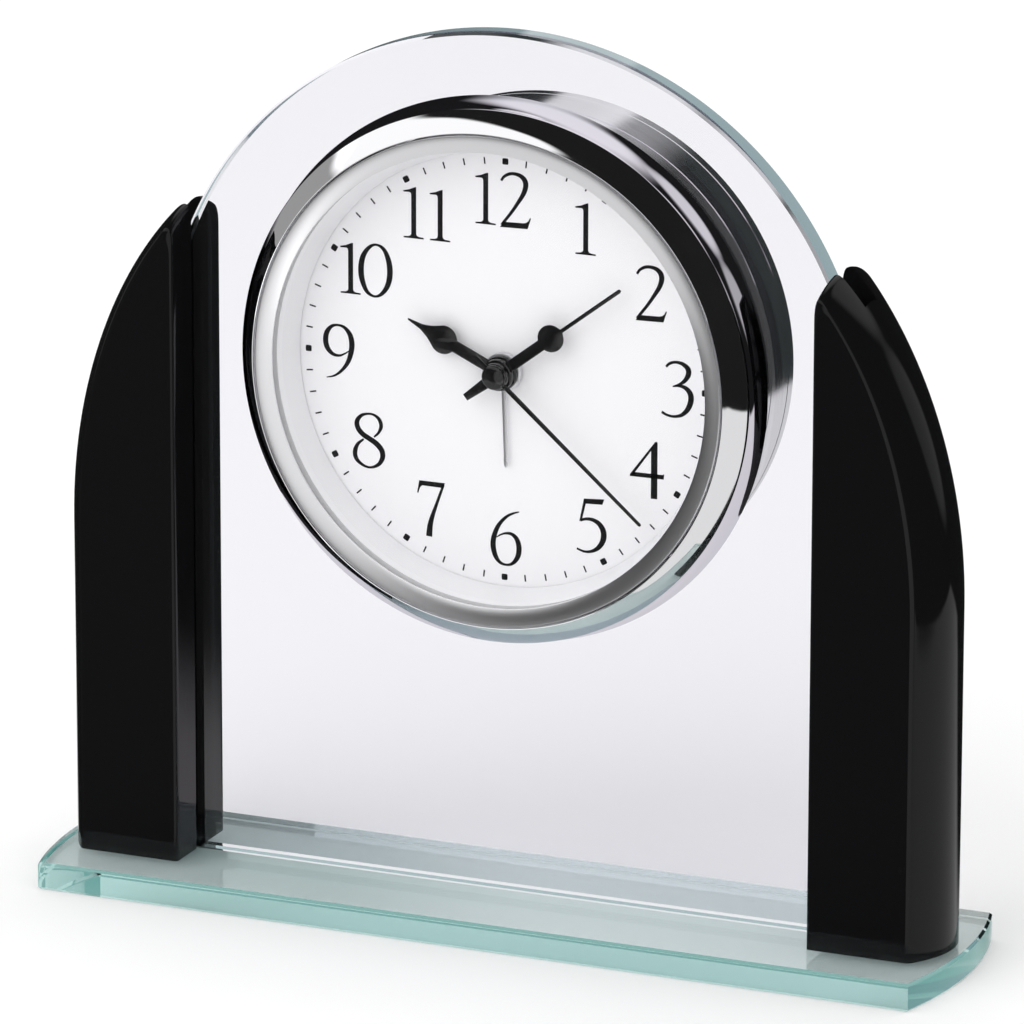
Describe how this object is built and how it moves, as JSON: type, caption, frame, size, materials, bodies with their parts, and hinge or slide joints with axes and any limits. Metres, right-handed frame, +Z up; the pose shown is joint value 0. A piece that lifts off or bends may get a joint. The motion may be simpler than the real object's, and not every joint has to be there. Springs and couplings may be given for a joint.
{
  "type": "alarm clock",
  "caption": "Analogue quartz alarm clock: a round chrome-rimmed dial in a clear glass arch, held by black columns on a glass base, with its gear train, hands and set knobs.",
  "frame": {"origin": "centre of the underside of the glass base, on the surface it stands on", "axes": "+Z up, +X to the right as seen from the front, the dial faces -Y"},
  "size_m": [0.17, 0.0483, 0.1587],
  "materials": {
    "clear_glass": "clear polished float glass with green edges",
    "lens_glass": "clear polished mineral glass",
    "black_lacquer": "black piano lacquer",
    "chrome": "mirror polished chrome",
    "satin_metal": "satin silver",
    "white_paint": "satin white",
    "dial_print": "matte white with printed black numerals",
    "black_paint": "semi-gloss black",
    "steel": "bright plated",
    "black_plastic": "fine matte black",
    "grey_plastic": "plain grey",
    "natural_plastic": "natural acetal",
    "clear_rubber": "clear silicone",
    "brass": "turned brass",
    "copper": "enamelled copper winding",
    "board": "green solder mask",
    "cell": "dark plain wrapper"
  },
  "bodies": {
    "clock": {"base_plate": "clear_glass", "arch_panel": "clear_glass", "lens": "lens_glass", "left_column": "black_lacquer", "right_column": "black_lacquer", "bezel": "chrome", "drum_case": "chrome", "lens_ring": "satin_metal", "rehaut": "white_paint", "dial": "dial_print", "cover_screw_top": "steel", "cover_screw_left": "steel", "cover_screw_right": "steel", "contact_positive": "steel", "contact_negative": "steel", "quartz_crystal": "steel", "stator": "steel", "back_cover": "black_plastic", "driver_chip": "black_plastic", "movement_housing": "grey_plastic", "middle_plate": "natural_plastic", "movement_cover": "natural_plastic", "panel_gasket": "clear_rubber", "buzzer_disc": "brass", "coil": "copper", "circuit_board": "board", "battery": "cell"},
    "seconds": {"seconds_wheel": "brass", "second_hand": "black_paint", "hand_cap": "black_paint"},
    "intermediate": {"intermediate_wheel": "natural_plastic"},
    "rotor": {"rotor": "black_plastic"},
    "third": {"third_wheel": "natural_plastic"},
    "centre": {"centre_wheel": "natural_plastic"},
    "minutes": {"minute_pipe": "brass", "minute_hand": "black_paint"},
    "reverse": {"reverse_wheel": "natural_plastic"},
    "hours": {"hour_wheel": "natural_plastic", "hour_hand": "black_paint"},
    "time_setting": {"time_set_arbor": "natural_plastic", "time_set_knob": "black_plastic"},
    "alarm": {"alarm_wheel": "natural_plastic", "alarm_hand": "steel"},
    "alarm_setting": {"alarm_set_arbor": "natural_plastic", "alarm_set_knob": "black_plastic"},
    "switch": {"alarm_switch": "grey_plastic"},
    "door": {"battery_door": "black_plastic"}
  },
  "joints": [
    {"name": "second_hand_turn", "type": "hinge", "parent": "clock", "child": "seconds", "pos_m": [0, 0.005, 0.0996], "axis": [0, 1, 0], "continuous": true},
    {"name": "intermediate_turn", "type": "hinge", "parent": "clock", "child": "intermediate", "pos_m": [0.00092, 0.011, 0.11006], "axis": [0, 1, 0], "continuous": true},
    {"name": "rotor_turn", "type": "hinge", "parent": "clock", "child": "rotor", "pos_m": [-0.00412, 0.01, 0.11879], "axis": [0, 1, 0], "continuous": true},
    {"name": "third_turn", "type": "hinge", "parent": "clock", "child": "third", "pos_m": [-0.0115, 0.009, 0.10379], "axis": [0, 1, 0], "continuous": true},
    {"name": "centre_turn", "type": "hinge", "parent": "clock", "child": "centre", "pos_m": [0, 0.0065, 0.0996], "axis": [0, 1, 0], "continuous": true},
    {"name": "minute_hand_turn", "type": "hinge", "parent": "clock", "child": "minutes", "pos_m": [0, 0, 0.0996], "axis": [0, 1, 0], "continuous": true},
    {"name": "reverse_turn", "type": "hinge", "parent": "clock", "child": "reverse", "pos_m": [0.00927, 0.002, 0.09712], "axis": [0, 1, 0], "continuous": true},
    {"name": "hour_hand_turn", "type": "hinge", "parent": "clock", "child": "hours", "pos_m": [0, 0, 0.0996], "axis": [0, 1, 0], "continuous": true},
    {"name": "time_knob_turn", "type": "hinge", "parent": "clock", "child": "time_setting", "pos_m": [0.01829, 0.015, 0.09383], "axis": [0, 1, 0], "continuous": true},
    {"name": "alarm_hand_turn", "type": "hinge", "parent": "clock", "child": "alarm", "pos_m": [0, -0.001, 0.0996], "axis": [0, 1, 0], "continuous": true},
    {"name": "alarm_knob_turn", "type": "hinge", "parent": "clock", "child": "alarm_setting", "pos_m": [0.01143, 0.015, 0.1062], "axis": [0, 1, 0], "continuous": true},
    {"name": "alarm_switch_slide", "type": "slide", "parent": "clock", "child": "switch", "axis": [1, 0, 0], "range_m": [0, 0.004]},
    {"name": "battery_door_slide", "type": "slide", "parent": "clock", "child": "door", "axis": [0, 0, -1], "range_m": [0, 0.016]}
  ],
  "couplings": [
    {"joint": "intermediate_turn", "follows": "second_hand_turn", "ratio": -6},
    {"joint": "rotor_turn", "follows": "second_hand_turn", "ratio": 30},
    {"joint": "third_turn", "follows": "second_hand_turn", "ratio": -0.13333},
    {"joint": "centre_turn", "follows": "second_hand_turn", "ratio": 0.016667},
    {"joint": "reverse_turn", "follows": "minute_hand_turn", "ratio": -0.33333},
    {"joint": "hour_hand_turn", "follows": "minute_hand_turn", "ratio": 0.083333},
    {"joint": "time_knob_turn", "follows": "minute_hand_turn", "ratio": 1},
    {"joint": "alarm_knob_turn", "follows": "alarm_hand_turn", "ratio": -5}
  ]
}
